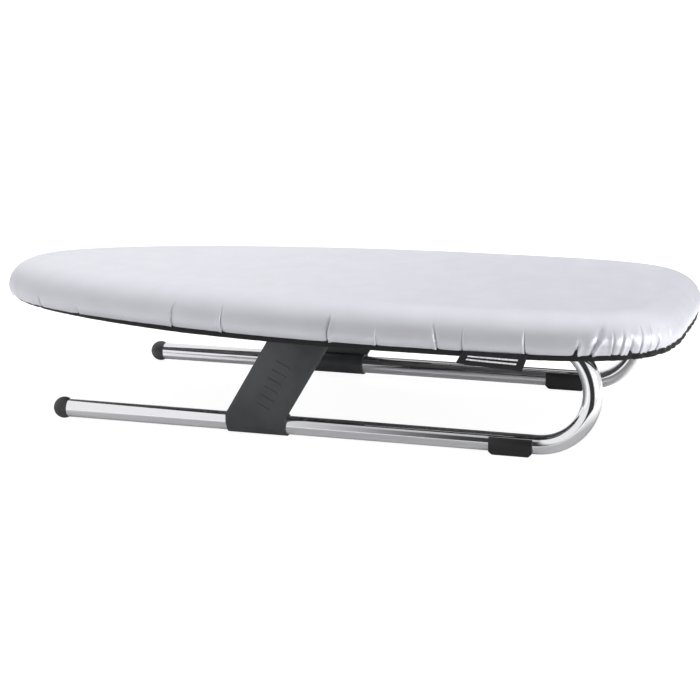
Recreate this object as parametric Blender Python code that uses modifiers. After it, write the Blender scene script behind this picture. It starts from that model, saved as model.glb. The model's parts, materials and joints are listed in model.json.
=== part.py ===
"""Table-top ironing board on two folding tubular legs.

Frame: metres, +Z up, origin on the table under the middle of the board.
The pointed nose of the board looks along -X and its square tail along +X.
Each leg is one bent tube.  Its upper arm turns in two saddles under the board,
so the whole leg folds inward about that arm's own axis.
"""
import math

import bmesh
import bpy
import numpy as np
from mathutils import Matrix, Vector

# ---------------------------------------------------------------- board outline
BOARD_LENGTH = 0.750
BOARD_WIDTH = 0.320
WIDEST_X = 0.098                 # where the nose curve meets the tail curve
NOSE_POWERS = (1.69, 2.31)       # superellipse powers along X and along Y
TAIL_POWERS = (4.35, 4.01)
OUTLINE_SAMPLES = 400            # dense samples per quarter before even spacing
OUTLINE_POINTS = 80

# ---------------------------------------------------------------- layers, top down
GAP = 0.0003                     # clearance between touching pieces
COVER_TOP_Z = 0.1422
COVER_THICKNESS = 0.0007
BULGE_Z = 0.1196                 # height at which the padded edge is widest
EDGE_ROUND = 0.0154              # how far the rounded edge reaches inward
EDGE_STEPS = 5
HEM_INSET = 0.0040               # the cover tucks in by this much at its hem
HEM_Z = 0.1087
PAD_THICKNESS = 0.0055
PANEL_THICKNESS = 0.0009
RAIL_THICKNESS = 0.0014

PAD_TOP_Z = COVER_TOP_Z - COVER_THICKNESS - GAP
PAD_BOTTOM_Z = PAD_TOP_Z - PAD_THICKNESS
PANEL_TOP_Z = PAD_BOTTOM_Z - GAP
PANEL_BOTTOM_Z = PANEL_TOP_Z - PANEL_THICKNESS
RAIL_TOP_Z = PANEL_BOTTOM_Z - GAP
RAIL_BOTTOM_Z = RAIL_TOP_Z - RAIL_THICKNESS
SADDLE_TOP_Z = RAIL_BOTTOM_Z - GAP

# ---------------------------------------------------------------- rim band
RIM_INSET = 0.0095               # outer face of the band, inside the cover's edge
RIM_WALL = 0.0010
RIM_BOTTOM_Z = 0.1035
RIM_LIP = 0.0035

# ---------------------------------------------------------------- hem binding
BINDING_BOTTOM_Z = 0.1027
BINDING_OUTER_INSET = 0.0038
BINDING_WIDTH = 0.0028
BINDING_WALL = 0.0006
ELASTIC_INSET = 0.0048
ELASTIC_THICKNESS = 0.0008
ELASTIC_HEIGHT = 0.0040
ELASTIC_BOTTOM_Z = 0.1037

# ---------------------------------------------------------------- legs
TUBE_RADIUS = 0.0095
TUBE_WALL = 0.0010
GRIP_BORE = TUBE_RADIUS + GAP    # bore of whatever holds the tube
GRIP_RADIUS = 0.0112             # outside of whatever holds the tube
LOWER_AXIS_Z = GRIP_RADIUS
BEND_RADIUS = 0.0545
UPPER_AXIS_Z = LOWER_AXIS_Z + 2 * BEND_RADIUS
LEG_Y = 0.1255                   # distance of each leg from the middle plane
LOWER_ARM_END_X = -0.2543
BEND_START_X = 0.2463
UPPER_ARM_END_X = -0.0500
BEND_STEPS = 14
TUBE_SEGMENTS = 20

BALL_RADIUS = GRIP_RADIUS
STEM_RADIUS = TUBE_RADIUS - TUBE_WALL - GAP
STEM_LENGTH = 0.014
PLUG_CAP_LENGTH = 0.003

BRACE_X = -0.0735                # nose side of the brace's lower sleeve
BRACE_LENGTH = 0.063
BRACE_LEAN = 0.054               # how far the upper sleeve is set back
BRACE_PLATE = 0.0055
BRACE_EDGE_ROUND = 0.0010

FOOT_X = 0.2222
FOOT_LENGTH = 0.0432
FOOT_HALF_WIDTH = 0.0115
FOOT_CORNER = 0.0030
FOOT_LIP_Z = 0.0060              # height of the clip's lips over the tube's axis
FOOT_CHAMFER = 0.0040
CHAMFER_CUTTER = 0.0100           # half size of the block that cuts the foot's chamfers

# ---------------------------------------------------------------- pivots
SADDLE_LENGTH = 0.024
SADDLE_RADIUS = 0.0118
SADDLE_FLANGE = 0.027            # reach of the screw flange toward the middle
SADDLE_FLANGE_THICKNESS = 0.0040
SADDLE_XS = {"front": -0.0350, "rear": 0.2170}
SCREW_OFFSET = 0.0195            # from the arm's axis toward the middle
SCREW_SPACING = 0.012
SCREW_RADIUS = 0.0017
HOLE_BELOW = 0.0080               # how far the hole cutter reaches below the flange
HOLE_ABOVE = 0.0020
SCREW_HOLE = 0.0020
SCREW_HEAD_RADIUS = 0.0036
SCREW_HEAD_HEIGHT = 0.0022
RAIL_WIDTH = 0.030
RAIL_FLANGE_HEIGHT = 0.0060
RAIL_FLANGE_HALF_SPAN = 0.094

STOP_X = 0.0140
STOP_LENGTH = 0.024
STOP_HEIGHT = 0.0080
STOP_GAP = 0.0004

# ---------------------------------------------------------------- woven label
LABEL_X = 0.2125
LABEL_LENGTH = 0.064
LABEL_HEIGHT = 0.0165
LABEL_THICKNESS = 0.0008

SIDES = {"left": -1, "right": 1}  # seen from the tail, looking to the nose

MATERIALS = {
    # name: (colour, roughness, metallic)
    "silver_fabric": ((0.72, 0.72, 0.76), 0.38, 0.35),
    "black_tape": ((0.02, 0.02, 0.022), 0.85, 0.0),
    "white_elastic": ((0.80, 0.80, 0.78), 0.80, 0.0),
    "felt": ((0.74, 0.73, 0.70), 0.95, 0.0),
    "grey_enamel": ((0.62, 0.63, 0.64), 0.45, 0.2),
    "chrome": ((0.80, 0.80, 0.82), 0.08, 1.0),
    "zinc_steel": ((0.58, 0.59, 0.60), 0.32, 1.0),
    "black_plastic": ((0.02, 0.02, 0.021), 0.50, 0.0),
    "grey_plastic": ((0.055, 0.058, 0.062), 0.45, 0.0),
    "grey_rubber": ((0.06, 0.06, 0.064), 0.70, 0.0),
}


def clear_scene():
    """Remove whatever the scene starts with."""
    for obj in list(bpy.data.objects):
        bpy.data.objects.remove(obj, do_unlink=True)


def make_collection(name):
    """Return a new collection linked to the scene."""
    collection = bpy.data.collections.new(name)
    bpy.context.scene.collection.children.link(collection)
    return collection


def make_material(name):
    """Return the named material, made on first use."""
    if name in bpy.data.materials:
        return bpy.data.materials[name]
    colour, roughness, metallic = MATERIALS[name]
    material = bpy.data.materials.new(name)
    material.use_nodes = True
    shader = material.node_tree.nodes["Principled BSDF"]
    shader.inputs["Base Color"].default_value = (*colour, 1.0)
    shader.inputs["Roughness"].default_value = roughness
    shader.inputs["Metallic"].default_value = metallic
    material.diffuse_color = (*colour, 1.0)
    return material


def finish_piece(obj, material, collection, parent=None, smooth_angle=35):
    """Give a piece its material, shading, place and parent."""
    for old in list(obj.users_collection):
        old.objects.unlink(obj)
    collection.objects.link(obj)
    obj.data.materials.clear()
    obj.data.materials.append(make_material(material))
    if obj.type == "MESH":
        obj.data.shade_smooth()
        obj.data.set_sharp_from_angle(angle=math.radians(smooth_angle))
    if parent is not None:
        bpy.context.view_layer.update()
        obj.parent = parent
        obj.matrix_parent_inverse = parent.matrix_world.inverted()
    return obj


# ================================================================ outline geometry
def outline_quarter(reach, half_width, powers, sign):
    """Points of one quarter of the outline, from the X axis to the widest point."""
    angles = np.linspace(0.0, math.pi / 2, OUTLINE_SAMPLES)
    x = WIDEST_X + sign * reach * np.cos(angles) ** (2 / powers[0])
    y = half_width * np.sin(angles) ** (2 / powers[1])
    return np.column_stack([x, y])


def board_outline(count=OUTLINE_POINTS):
    """Evenly spaced points round the cover's widest line, anticlockwise."""
    half_width = BOARD_WIDTH / 2
    tail = outline_quarter(BOARD_LENGTH / 2 - WIDEST_X, half_width, TAIL_POWERS, 1)
    nose = outline_quarter(BOARD_LENGTH / 2 + WIDEST_X, half_width, NOSE_POWERS, -1)
    upper = np.vstack([tail, nose[::-1][1:]])
    lower = upper[::-1][1:] * (1, -1)
    loop = np.vstack([upper, lower])
    steps = np.linalg.norm(np.diff(loop, axis=0), axis=1)
    travelled = np.concatenate([[0.0], np.cumsum(steps)])
    stations = np.linspace(0.0, travelled[-1], count, endpoint=False)
    return np.column_stack([np.interp(stations, travelled, loop[:, 0]),
                            np.interp(stations, travelled, loop[:, 1])])


def inset_outline(inset, count=OUTLINE_POINTS):
    """The board outline moved inward by a distance."""
    points = board_outline(count)
    tangents = np.roll(points, -1, axis=0) - np.roll(points, 1, axis=0)
    tangents /= np.linalg.norm(tangents, axis=1)[:, None]
    inward = np.column_stack([-tangents[:, 1], tangents[:, 0]])
    return points + inset * inward


def half_width_at(x):
    """Half width of the board at a station along X."""
    if x < WIDEST_X:
        share = (WIDEST_X - x) / (BOARD_LENGTH / 2 + WIDEST_X)
        powers = NOSE_POWERS
    else:
        share = (x - WIDEST_X) / (BOARD_LENGTH / 2 - WIDEST_X)
        powers = TAIL_POWERS
    return BOARD_WIDTH / 2 * (1 - share ** powers[0]) ** (1 / powers[1])


def edge_profile(clearance=0.0):
    """(inset, z) pairs from the flat top down the rounded edge to the bulge."""
    reach = EDGE_ROUND - clearance
    rise = COVER_TOP_Z - BULGE_Z - clearance
    angles = np.linspace(0.0, math.pi / 2, EDGE_STEPS)
    return [(clearance + reach * (1 - math.sin(a)), BULGE_Z + rise * math.cos(a))
            for a in angles]


# ================================================================ mesh helpers
def lofted_mesh(name, profile, cap_first=False, cap_last=False):
    """Skin rings of the board outline, one per (inset, z) pair of the profile."""
    mesh = bpy.data.meshes.new(name)
    bm = bmesh.new()
    rings = []
    for inset, z in profile:
        rings.append([bm.verts.new((x, y, z)) for x, y in inset_outline(inset)])
    for above, below in zip(rings, rings[1:]):
        for i in range(OUTLINE_POINTS):
            j = (i + 1) % OUTLINE_POINTS
            bm.faces.new((above[i], below[i], below[j], above[j]))
    if cap_first:
        bm.faces.new(rings[0])
    if cap_last:
        bm.faces.new(rings[-1][::-1])
    bm.normal_update()
    bm.to_mesh(mesh)
    bm.free()
    return mesh


def flat_curve(name, loops, thickness, edge_round=0.0):
    """A flat outline in the local XY plane, extruded both ways along local Z."""
    curve = bpy.data.curves.new(name, "CURVE")
    curve.dimensions = "2D"
    curve.fill_mode = "BOTH"
    curve.extrude = thickness / 2 - edge_round
    curve.bevel_depth = edge_round
    curve.bevel_resolution = 1
    for loop in loops:
        spline = curve.splines.new("POLY")
        spline.points.add(len(loop) - 1)
        for point, (x, y) in zip(spline.points, loop):
            point.co = (x, y, 0.0, 1.0)
        spline.use_cyclic_u = True
    return bpy.data.objects.new(name, curve)


def curve_to_mesh(obj):
    """Replace a curve object by its evaluated mesh, with the caps welded on."""
    bpy.context.scene.collection.objects.link(obj)
    bpy.context.view_layer.update()
    evaluated = obj.evaluated_get(bpy.context.evaluated_depsgraph_get())
    mesh = bpy.data.meshes.new_from_object(evaluated)
    bm = bmesh.new()
    bm.from_mesh(mesh)
    bmesh.ops.remove_doubles(bm, verts=bm.verts, dist=1e-6)
    bm.to_mesh(mesh)
    bm.free()
    name = obj.name
    solid = bpy.data.objects.new(name + "_solid", mesh)
    solid.matrix_world = obj.matrix_world.copy()
    bpy.data.objects.remove(obj, do_unlink=True)
    solid.name = name
    bpy.context.scene.collection.objects.link(solid)
    return solid


def flat_solid(name, loops, thickness, matrix, edge_round=0.0):
    """A flat outline with a thickness, as a mesh placed by a matrix."""
    obj = flat_curve(name, loops, thickness, edge_round)
    obj.matrix_world = matrix
    return curve_to_mesh(obj)


def swept_ring(name, profile, guides):
    """A closed (inset, z) profile carried once round the board outline."""
    section = flat_curve(name + "_section", [profile[::-1]], 0.0)
    section.data.fill_mode = "NONE"
    section.hide_render = True
    section.display_type = "WIRE"
    guides.objects.link(section)
    path = flat_curve(name, [board_outline()[::-1]], 0.0)
    path.data.fill_mode = "NONE"
    path.data.bevel_mode = "OBJECT"
    path.data.bevel_object = section
    return curve_to_mesh(path)


def box_mesh(name, low, high):
    """A box between two corners."""
    bm = bmesh.new()
    size = Vector(high) - Vector(low)
    centre = (Vector(high) + Vector(low)) / 2
    bmesh.ops.create_cube(bm, size=1.0,
                          matrix=Matrix.Translation(centre) @ Matrix.Diagonal((*size, 1.0)))
    mesh = bpy.data.meshes.new(name)
    bm.to_mesh(mesh)
    bm.free()
    return bpy.data.objects.new(name, mesh)


def rod_mesh(name, start, end, radius, segments=TUBE_SEGMENTS):
    """A capped cylinder between two points."""
    start = Vector(start)
    end = Vector(end)
    turn = (end - start).to_track_quat("Z", "Y").to_matrix().to_4x4()
    bm = bmesh.new()
    bmesh.ops.create_cone(bm, cap_ends=True, segments=segments, radius1=radius,
                          radius2=radius, depth=(end - start).length,
                          matrix=Matrix.Translation((start + end) / 2) @ turn)
    mesh = bpy.data.meshes.new(name)
    bm.to_mesh(mesh)
    bm.free()
    return bpy.data.objects.new(name, mesh)


def combine(obj, tool, operation, guides):
    """Join or cut a piece with a tool object that is left out of the build."""
    tool.hide_render = True
    tool.display_type = "WIRE"
    if not tool.users_collection:
        guides.objects.link(tool)
    modifier = obj.modifiers.new(operation.lower(), "BOOLEAN")
    modifier.operation = operation
    modifier.solver = "EXACT"
    modifier.object = tool


def turned(name, profile, matrix, steps=TUBE_SEGMENTS):
    """A turned piece: (radius, height) pairs from the top down, round local Z."""
    mesh = bpy.data.meshes.new(name)
    vertices = [(radius, 0.0, height) for radius, height in profile]
    edges = [(i, i + 1) for i in range(len(profile) - 1)]
    mesh.from_pydata(vertices, edges, [])
    obj = bpy.data.objects.new(name, mesh)
    obj.matrix_world = matrix
    screw = obj.modifiers.new("turn", "SCREW")
    screw.axis = "Z"
    screw.angle = math.tau
    screw.steps = steps
    screw.render_steps = steps
    screw.use_merge_vertices = True
    screw.merge_threshold = 1e-5
    screw.use_smooth_shade = True
    return obj


def side_section_matrix(side, x, z):
    """Local X toward the middle of the board, local Y up, local Z along world X."""
    turn = Matrix.Rotation(math.pi / 2 * (1 if side < 0 else -1), 4, "Z")
    tilt = Matrix.Rotation(math.pi / 2, 4, "X")
    return Matrix.Translation((x, side * LEG_Y, z)) @ turn @ tilt


def arc(centre, radius, start_deg, end_deg, steps):
    """Points on an arc, both ends included."""
    return [(centre[0] + radius * math.cos(math.radians(a)),
             centre[1] + radius * math.sin(math.radians(a)))
            for a in np.linspace(start_deg, end_deg, steps + 1)]


# ================================================================ board pieces
def build_cover(parts):
    """The fabric cover: a thin skin over the top and down to the hem."""
    tuck_steps = 3
    profile = edge_profile()
    for i in range(1, tuck_steps + 1):
        share = i / tuck_steps
        profile.append((HEM_INSET * share ** 2, BULGE_Z + (HEM_Z + GAP - BULGE_Z) * share))
    obj = bpy.data.objects.new("cover", lofted_mesh("cover", profile, cap_first=True))
    skin = obj.modifiers.new("thickness", "SOLIDIFY")
    skin.thickness = COVER_THICKNESS
    skin.offset = -1.0
    return finish_piece(obj, "silver_fabric", parts)


def build_pad(parts):
    """The felt pad: flat on the panel, folded down over the rim band."""
    inner = RIM_INSET - GAP
    profile = edge_profile(COVER_THICKNESS + GAP)
    profile += [(inner, BULGE_Z), (inner, PAD_BOTTOM_Z)]
    mesh = lofted_mesh("pad", profile, cap_first=True, cap_last=True)
    return finish_piece(bpy.data.objects.new("pad", mesh), "felt", parts)


def build_support_panel(parts):
    """The sheet that carries the pad, lying on the rim band."""
    middle_z = (PANEL_TOP_Z + PANEL_BOTTOM_Z) / 2
    panel = flat_solid("support_panel", [inset_outline(RIM_INSET)], PANEL_THICKNESS,
                       Matrix.Translation((0.0, 0.0, middle_z)))
    return finish_piece(panel, "grey_enamel", parts)


def build_rim_band(parts, guides):
    """The steel band under the panel's edge, with a lip turned inward."""
    outer = RIM_INSET
    inner = RIM_INSET + RIM_WALL
    lip = inner + RIM_LIP
    profile = [(outer, RIM_BOTTOM_Z), (lip, RIM_BOTTOM_Z), (lip, RIM_BOTTOM_Z + RIM_WALL),
               (inner, RIM_BOTTOM_Z + RIM_WALL), (inner, RAIL_TOP_Z), (outer, RAIL_TOP_Z)]
    return finish_piece(swept_ring("rim_band", profile, guides), "grey_enamel", parts)


def build_binding(parts, guides):
    """The folded tape round the hem, open upward like a channel."""
    outer = BINDING_OUTER_INSET
    inner = outer + BINDING_WIDTH
    floor = BINDING_BOTTOM_Z + BINDING_WALL
    profile = [(outer, BINDING_BOTTOM_Z), (inner, BINDING_BOTTOM_Z), (inner, HEM_Z),
               (inner - BINDING_WALL, HEM_Z), (inner - BINDING_WALL, floor),
               (outer + BINDING_WALL, floor), (outer + BINDING_WALL, HEM_Z),
               (outer, HEM_Z)]
    return finish_piece(swept_ring("binding", profile, guides), "black_tape", parts)


def build_hem_elastic(parts, guides):
    """The flat elastic that runs inside the binding and holds the cover on."""
    outer = ELASTIC_INSET
    inner = outer + ELASTIC_THICKNESS
    top = ELASTIC_BOTTOM_Z + ELASTIC_HEIGHT
    profile = [(outer, ELASTIC_BOTTOM_Z), (inner, ELASTIC_BOTTOM_Z), (inner, top), (outer, top)]
    return finish_piece(swept_ring("hem_elastic", profile, guides), "white_elastic", parts)


def build_label(parts):
    """The woven label sewn to the binding on the left side."""
    ends = [LABEL_X - LABEL_LENGTH / 2, LABEL_X + LABEL_LENGTH / 2]
    inset = BINDING_OUTER_INSET - GAP
    widths = [half_width_at(x) - inset for x in ends]
    lean = math.atan2(widths[0] - widths[1], LABEL_LENGTH)
    inner_y = half_width_at(LABEL_X) - inset
    obj = box_mesh("label_tag",
                   (-LABEL_LENGTH / 2, -LABEL_THICKNESS, -LABEL_HEIGHT),
                   (LABEL_LENGTH / 2, 0.0, 0.0))
    obj.matrix_world = (Matrix.Translation((LABEL_X, -inner_y, HEM_Z))
                        @ Matrix.Rotation(lean, 4, "Z"))
    return finish_piece(obj, "black_tape", parts)


def build_cross_rail(parts, guides, place, x):
    """A steel strap across the band, stiffened by two flanges between the legs."""
    half_width = RAIL_WIDTH / 2
    reach = min(half_width_at(x - half_width), half_width_at(x + half_width))
    reach -= RIM_INSET + RIM_WALL + GAP
    rail = box_mesh("cross_rail_" + place, (x - half_width, -reach, RAIL_BOTTOM_Z),
                    (x + half_width, reach, RAIL_TOP_Z))
    for edge in (-1, 1):
        outer = x + edge * half_width
        inner = outer - edge * RAIL_THICKNESS
        low = (min(outer, inner), -RAIL_FLANGE_HALF_SPAN, RAIL_BOTTOM_Z - RAIL_FLANGE_HEIGHT)
        high = (max(outer, inner), RAIL_FLANGE_HALF_SPAN, RAIL_BOTTOM_Z + RAIL_THICKNESS / 2)
        combine(rail, box_mesh(rail.name + "_flange", low, high), "UNION", guides)
    for side in SIDES.values():
        for screw_x in screw_xs(x):
            y = side * (LEG_Y - SCREW_OFFSET)
            hole = rod_mesh(rail.name + "_hole", (screw_x, y, RAIL_BOTTOM_Z - RAIL_THICKNESS),
                            (screw_x, y, RAIL_TOP_Z + RAIL_THICKNESS), SCREW_HOLE, 12)
            combine(rail, hole, "DIFFERENCE", guides)
    return finish_piece(rail, "grey_enamel", parts)


# ================================================================ pivot pieces
def screw_xs(x):
    """The two screws of a saddle, along X."""
    return (x - SCREW_SPACING / 2, x + SCREW_SPACING / 2)


def saddle_loops():
    """Section of a saddle: a ring under a flat top with one screw flange."""
    top = SADDLE_TOP_Z - UPPER_AXIS_Z
    flange_bottom = top - SADDLE_FLANGE_THICKNESS
    start = math.degrees(math.asin(flange_bottom / SADDLE_RADIUS))
    outer = [(SADDLE_FLANGE, top), (-SADDLE_RADIUS, top)]
    outer += arc((0.0, 0.0), SADDLE_RADIUS, -180, start, 16)
    outer += [(SADDLE_FLANGE, flange_bottom)]
    bore = arc((0.0, 0.0), GRIP_BORE, 0, 360, 24)[:-1]
    return [outer, bore]


def build_saddle(parts, guides, place, side_name):
    """One bearing saddle, screwed under a cross rail."""
    side = SIDES[side_name]
    x = SADDLE_XS[place]
    saddle = flat_solid("saddle_" + place + "_" + side_name, saddle_loops(), SADDLE_LENGTH,
                        side_section_matrix(side, x, UPPER_AXIS_Z))
    for screw_x in screw_xs(x):
        y = side * (LEG_Y - SCREW_OFFSET)
        hole = rod_mesh(saddle.name + "_hole", (screw_x, y, SADDLE_TOP_Z - HOLE_BELOW),
                        (screw_x, y, SADDLE_TOP_Z + HOLE_ABOVE), SCREW_HOLE, 12)
        combine(saddle, hole, "DIFFERENCE", guides)
    return finish_piece(saddle, "black_plastic", parts)


def screw_profile():
    """Pan head below, threaded shaft above, from the tip of the shaft down."""
    shaft = RAIL_TOP_Z - (SADDLE_TOP_Z - SADDLE_FLANGE_THICKNESS - GAP)
    head = arc((SCREW_HEAD_RADIUS - 0.0010, -SCREW_HEAD_HEIGHT + 0.0010), 0.0010, 0, -90, 3)
    return ([(0.0, shaft), (SCREW_RADIUS - 0.0004, shaft), (SCREW_RADIUS, shaft - 0.0004),
             (SCREW_RADIUS, 0.0), (SCREW_HEAD_RADIUS, 0.0)]
            + head + [(0.0, -SCREW_HEAD_HEIGHT)])


def build_saddle_screws(parts, place, side_name):
    """The two screws that hold a saddle to its rail."""
    side = SIDES[side_name]
    seat_z = SADDLE_TOP_Z - SADDLE_FLANGE_THICKNESS - GAP
    for number, screw_x in enumerate(screw_xs(SADDLE_XS[place]), start=1):
        name = f"saddle_screw_{place}_{side_name}_{number}"
        place_matrix = Matrix.Translation((screw_x, side * (LEG_Y - SCREW_OFFSET), seat_z))
        screw = turned(name, screw_profile(), place_matrix, 12)
        finish_piece(screw, "zinc_steel", parts)


def build_leg_stop(parts, side_name):
    """The block on the rim's lip that the brace leans on when the leg is open."""
    side = SIDES[side_name]
    plate_face = LEG_Y + GRIP_RADIUS
    band_face = half_width_at(STOP_X - STOP_LENGTH / 2) - RIM_INSET - RIM_WALL
    ys = sorted((side * (plate_face + STOP_GAP), side * (band_face - GAP)))
    low_z = RIM_BOTTOM_Z + RIM_WALL + GAP
    stop = box_mesh("leg_stop_" + side_name, (STOP_X - STOP_LENGTH / 2, ys[0], low_z),
                    (STOP_X + STOP_LENGTH / 2, ys[1], low_z + STOP_HEIGHT))
    return finish_piece(stop, "black_plastic", parts)


# ================================================================ leg pieces
def leg_path():
    """The tube's centreline in the XZ plane: lower arm, half-round bend, upper arm."""
    centre = (BEND_START_X, LOWER_AXIS_Z + BEND_RADIUS)
    bend = arc(centre, BEND_RADIUS, -90, 90, BEND_STEPS)
    return [(LOWER_ARM_END_X, LOWER_AXIS_Z)] + bend + [(UPPER_ARM_END_X, UPPER_AXIS_Z)]


def build_leg_tube(parts, side_name, pivot):
    """One bent tube, open at both ends."""
    y = SIDES[side_name] * LEG_Y
    curve = bpy.data.curves.new("leg_tube_" + side_name, "CURVE")
    curve.dimensions = "3D"
    curve.bevel_depth = TUBE_RADIUS
    curve.bevel_resolution = (TUBE_SEGMENTS - 4) // 2
    curve.use_fill_caps = False
    points = leg_path()
    spline = curve.splines.new("POLY")
    spline.points.add(len(points) - 1)
    for point, (x, z) in zip(spline.points, points):
        point.co = (x, y, z, 1.0)
    tube = curve_to_mesh(bpy.data.objects.new(curve.name, curve))
    wall = tube.modifiers.new("wall", "SOLIDIFY")
    wall.thickness = TUBE_WALL
    wall.offset = -1.0
    return finish_piece(tube, "chrome", parts, pivot)


def build_ball_cap(parts, side_name, pivot):
    """The ball on the lower arm's end, with a stem pushed into the tube."""
    seat = math.sqrt(BALL_RADIUS ** 2 - TUBE_RADIUS ** 2)
    seat_angle = math.degrees(math.asin(seat / BALL_RADIUS))
    profile = [(0.0, seat + STEM_LENGTH), (STEM_RADIUS, seat + STEM_LENGTH),
               (STEM_RADIUS, seat)]
    profile += arc((0.0, 0.0), BALL_RADIUS, seat_angle, -90, 9)[:-1] + [(0.0, -BALL_RADIUS)]
    centre_x = LOWER_ARM_END_X - GAP - seat
    place = (Matrix.Translation((centre_x, SIDES[side_name] * LEG_Y, LOWER_AXIS_Z))
             @ Matrix.Rotation(math.pi / 2, 4, "Y"))
    ball = turned("ball_cap_" + side_name, profile, place)
    return finish_piece(ball, "grey_rubber", parts, pivot)


def build_end_plug(parts, side_name, pivot):
    """The flanged plug in the upper arm's end, which keeps the arm in its saddle."""
    profile = [(0.0, STEM_LENGTH), (STEM_RADIUS, STEM_LENGTH), (STEM_RADIUS, 0.0),
               (GRIP_RADIUS, 0.0), (GRIP_RADIUS, -PLUG_CAP_LENGTH + 0.0008),
               (GRIP_RADIUS - 0.0008, -PLUG_CAP_LENGTH), (0.0, -PLUG_CAP_LENGTH)]
    place = (Matrix.Translation((UPPER_ARM_END_X - GAP, SIDES[side_name] * LEG_Y, UPPER_AXIS_Z))
             @ Matrix.Rotation(math.pi / 2, 4, "Y"))
    return finish_piece(turned("end_plug_" + side_name, profile, place), "black_plastic",
                        parts, pivot)


def brace_outline():
    """Side view of the brace: upright at both sleeves, leaning in between."""
    low_bend = LOWER_AXIS_Z + TUBE_RADIUS
    high_bend = UPPER_AXIS_Z - TUBE_RADIUS
    front = BRACE_X
    back = BRACE_X + BRACE_LENGTH
    return [(front, LOWER_AXIS_Z), (back, LOWER_AXIS_Z), (back, low_bend),
            (back + BRACE_LEAN, high_bend), (back + BRACE_LEAN, UPPER_AXIS_Z),
            (front + BRACE_LEAN, UPPER_AXIS_Z), (front + BRACE_LEAN, high_bend),
            (front, low_bend)]


def build_brace(parts, guides, side_name, pivot):
    """The leaning plate moulded in one with a sleeve round each arm."""
    side = SIDES[side_name]
    plate_y = side * (LEG_Y + GRIP_RADIUS - BRACE_PLATE / 2)
    upright = Matrix.Translation((0.0, plate_y, 0.0)) @ Matrix.Rotation(math.pi / 2, 4, "X")
    brace = flat_solid("brace_" + side_name, [brace_outline()], BRACE_PLATE, upright,
                       BRACE_EDGE_ROUND)
    y = side * LEG_Y
    arms = ((BRACE_X, LOWER_AXIS_Z), (BRACE_X + BRACE_LEAN, UPPER_AXIS_Z))
    for x, z in arms:
        sleeve = rod_mesh(brace.name + "_sleeve", (x, y, z), (x + BRACE_LENGTH, y, z),
                          GRIP_RADIUS, 32)
        combine(brace, sleeve, "UNION", guides)
    for x, z in arms:
        bore = rod_mesh(brace.name + "_bore", (x - 0.01, y, z), (x + BRACE_LENGTH + 0.01, y, z),
                        GRIP_BORE, 32)
        combine(brace, bore, "DIFFERENCE", guides)
    return finish_piece(brace, "grey_plastic", parts, pivot)


def foot_loop():
    """Section of the foot clip: flat-bottomed, open at the top of the tube."""
    bottom = -LOWER_AXIS_Z
    side = FOOT_HALF_WIDTH
    lip_angle = math.degrees(math.asin(FOOT_LIP_Z / GRIP_BORE))
    right_corner = arc((side - FOOT_CORNER, bottom + FOOT_CORNER), FOOT_CORNER, -90, 0, 3)
    left_corner = arc((-side + FOOT_CORNER, bottom + FOOT_CORNER), FOOT_CORNER, 180, 270, 3)
    shoulder = arc((0.0, 0.0), side, 0, lip_angle, 4)
    other_shoulder = arc((0.0, 0.0), side, 180 - lip_angle, 180, 4)
    bore = arc((0.0, 0.0), GRIP_BORE, 180 - lip_angle, 360 + lip_angle, 18)
    return right_corner + shoulder + bore[::-1] + other_shoulder + left_corner


def build_foot_clip(parts, guides, side_name, pivot):
    """The clip on the lower arm that the tail end stands on."""
    side = SIDES[side_name]
    clip = flat_solid("foot_clip_" + side_name, [foot_loop()], FOOT_LENGTH,
                      side_section_matrix(side, FOOT_X, LOWER_AXIS_Z))
    for end in (-1, 1):
        corner = (FOOT_X + end * FOOT_LENGTH / 2, side * LEG_Y, 0.0)
        size = Vector((CHAMFER_CUTTER, 2 * CHAMFER_CUTTER, CHAMFER_CUTTER))
        wedge = box_mesh(clip.name + "_chamfer", -size, size)
        outward = Vector((end, 0.0, -1.0)) / math.sqrt(2)
        centre = Vector(corner) + outward * (CHAMFER_CUTTER - FOOT_CHAMFER / math.sqrt(2))
        wedge.matrix_world = Matrix.Translation(centre) @ Matrix.Rotation(math.pi / 4, 4, "Y")
        combine(clip, wedge, "DIFFERENCE", guides)
    return finish_piece(clip, "black_plastic", parts, pivot)


def build_leg(parts, guides, side_name):
    """One folding leg, parented to an empty on its hinge axis."""
    pivot = bpy.data.objects.new("leg_axis_" + side_name, None)
    pivot.location = (0.0, SIDES[side_name] * LEG_Y, UPPER_AXIS_Z)
    parts.objects.link(pivot)
    bpy.context.view_layer.update()
    build_leg_tube(parts, side_name, pivot)
    build_ball_cap(parts, side_name, pivot)
    build_end_plug(parts, side_name, pivot)
    build_brace(parts, guides, side_name, pivot)
    build_foot_clip(parts, guides, side_name, pivot)


def main():
    """Build the whole board."""
    clear_scene()
    parts = make_collection("table_top_ironing_board")
    guides = make_collection("cutters_and_guides")
    build_cover(parts)
    build_pad(parts)
    build_support_panel(parts)
    build_rim_band(parts, guides)
    build_binding(parts, guides)
    build_hem_elastic(parts, guides)
    build_label(parts)
    for place, x in SADDLE_XS.items():
        build_cross_rail(parts, guides, place, x)
        for side_name in SIDES:
            build_saddle(parts, guides, place, side_name)
            build_saddle_screws(parts, place, side_name)
    for side_name in SIDES:
        build_leg_stop(parts, side_name)
        build_leg(parts, guides, side_name)


main()
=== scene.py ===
"""Looks for the table-top ironing board: camera, light, fabric, chrome and plastic."""
import json
import math

import bmesh
import bpy
import numpy as np
from mathutils import Matrix, Vector, noise

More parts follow.
